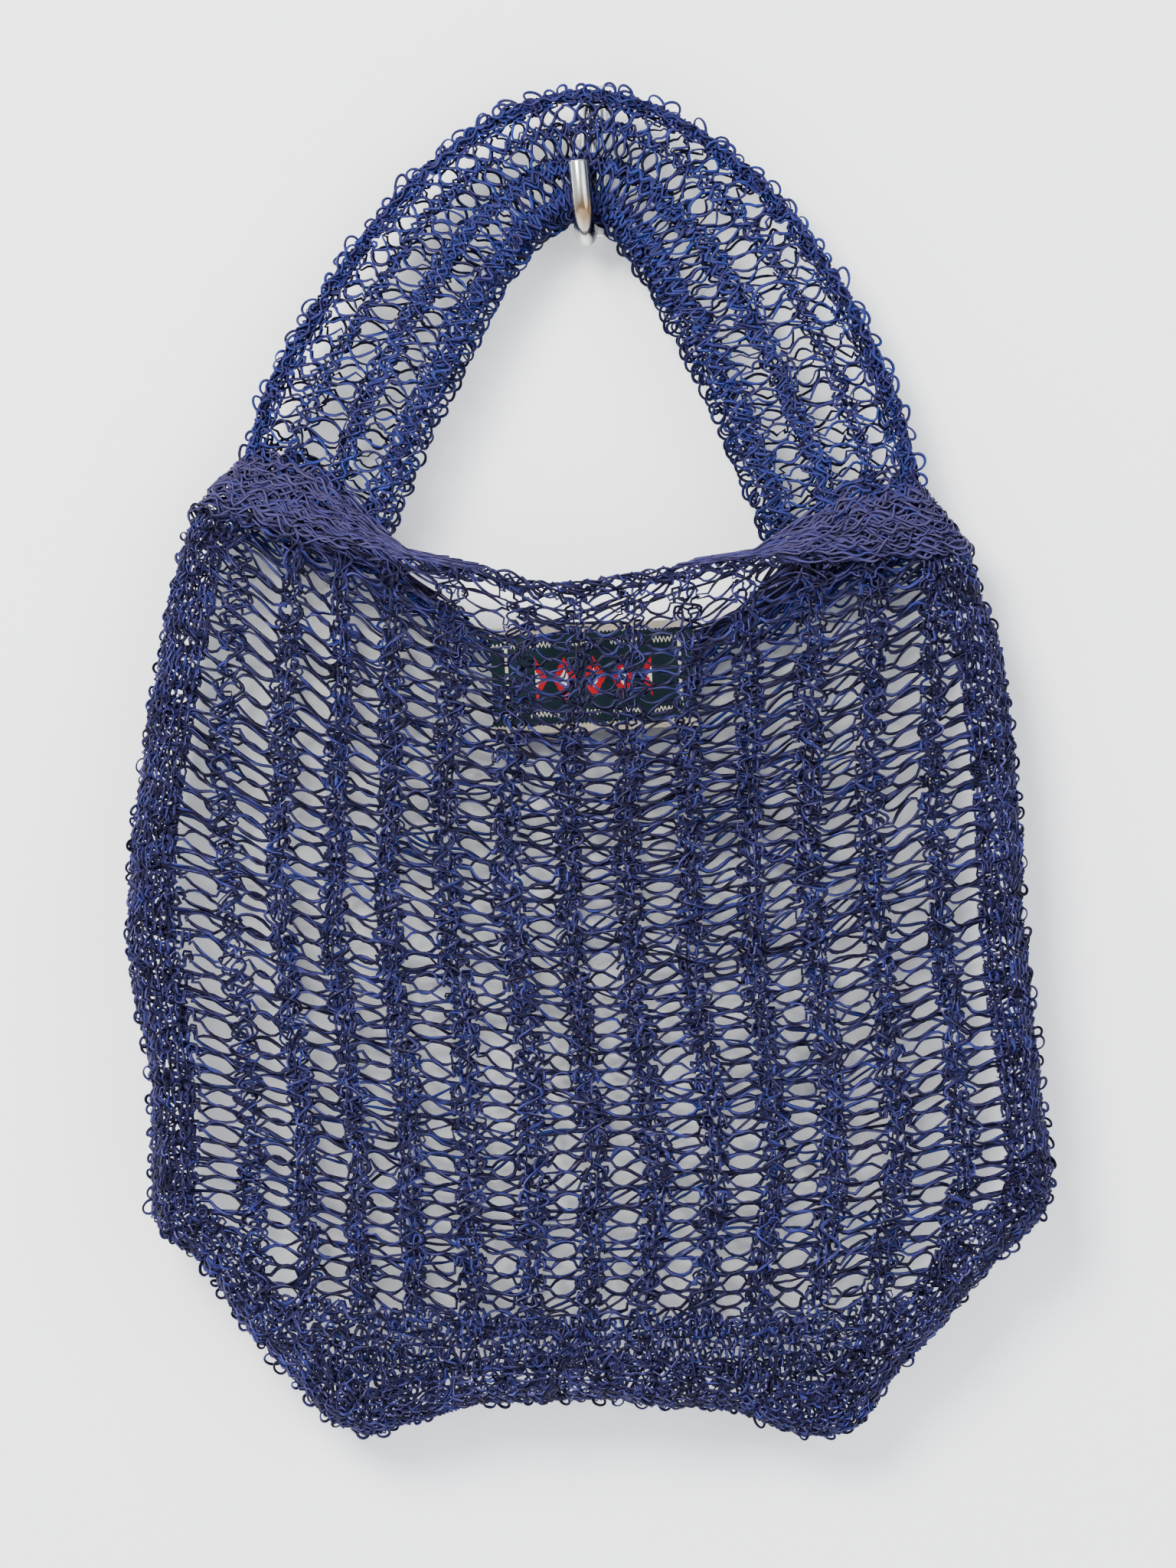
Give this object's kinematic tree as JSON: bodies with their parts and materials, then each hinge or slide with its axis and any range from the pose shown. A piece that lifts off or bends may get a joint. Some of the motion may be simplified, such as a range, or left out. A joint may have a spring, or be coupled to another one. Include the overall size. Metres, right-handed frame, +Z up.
{
  "type": "mesh handbag on a wall hook",
  "caption": "Small knitted openwork handbag with a folded net strap, gathered shoulder seams and boxed lower corners, hanging on a plain J-shaped steel wall hook.",
  "frame": {"origin": "middle of the back face of the hook's plate, where it meets the wall", "axes": "+Z up, +Y into the wall, the front of the bag faces -Y, +X to the right as seen from the front"},
  "size_m": [0.2373, 0.0401, 0.3528],
  "materials": {
    "yarn": "flat navy blue ribbon yarn with a soft sheen",
    "seam_yarn": "navy blue yarn, gathered and duller",
    "woven_label": "dark green woven label with beige selvedges",
    "steel": "polished"
  },
  "bodies": {
    "root": {"bag_body": "yarn", "strap": "yarn", "shoulder_left": "seam_yarn", "shoulder_right": "seam_yarn", "label": "woven_label", "hook": "steel"}
  },
  "joints": []
}
